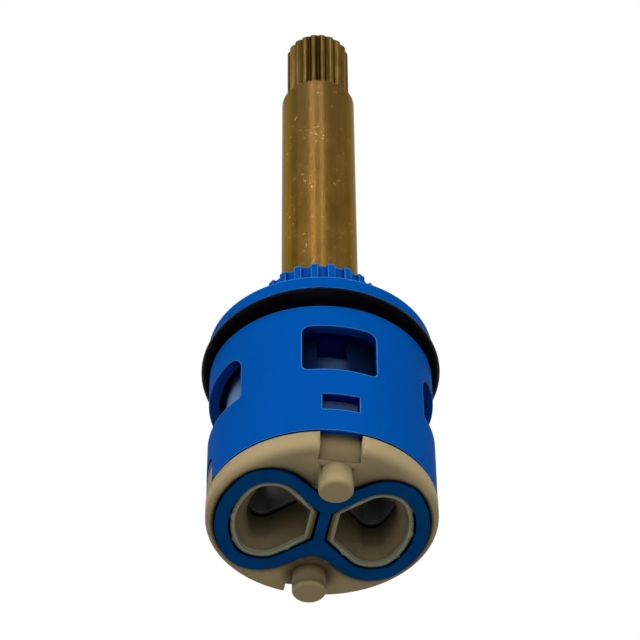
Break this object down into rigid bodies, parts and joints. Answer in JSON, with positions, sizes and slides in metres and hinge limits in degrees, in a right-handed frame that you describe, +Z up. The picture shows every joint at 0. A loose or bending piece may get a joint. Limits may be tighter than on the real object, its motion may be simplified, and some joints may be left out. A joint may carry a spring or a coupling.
{
  "type": "diverter cartridge",
  "caption": "Round plastic cartridge with ceramic discs and a long splined brass spindle that turns to send shower water to either of the ports in its base.",
  "frame": {"origin": "centre of the base's seating face, midway between the locating pins", "axes": "+Z up the spindle towards its splined end, Y through the two locating pins with the shown pin at -Y, X through the two ports"},
  "size_m": [0.028, 0.028, 0.0831],
  "materials": {
    "blue_plastic": "smooth moulded",
    "tan_plastic": "smooth moulded",
    "grey_plastic": "smooth moulded",
    "white_plastic": "smooth moulded",
    "spindle_brass": "turned, slightly dulled",
    "black_rubber": "smooth",
    "blue_rubber": "smooth",
    "white_ceramic": "lapped",
    "grey_ceramic": "lapped"
  },
  "bodies": {
    "stator": {"housing": "blue_plastic", "housing_o_ring": "black_rubber", "thrust_washer": "white_plastic", "fixed_disc": "grey_ceramic", "left_disc_seal": "black_rubber", "right_disc_seal": "black_rubber", "base": "tan_plastic", "base_gasket": "blue_rubber", "snap_ring": "grey_plastic"},
    "rotor": {"spindle": "spindle_brass", "spindle_o_ring_upper": "black_rubber", "spindle_o_ring_lower": "black_rubber", "disc_carrier": "grey_plastic", "moving_disc": "white_ceramic"}
  },
  "joints": [
    {"name": "spindle_turn", "type": "hinge", "parent": "stator", "child": "rotor", "pos_m": [0, 0, 0.03], "axis": [0, 0, 1], "range_deg": [-45, 45]}
  ]
}
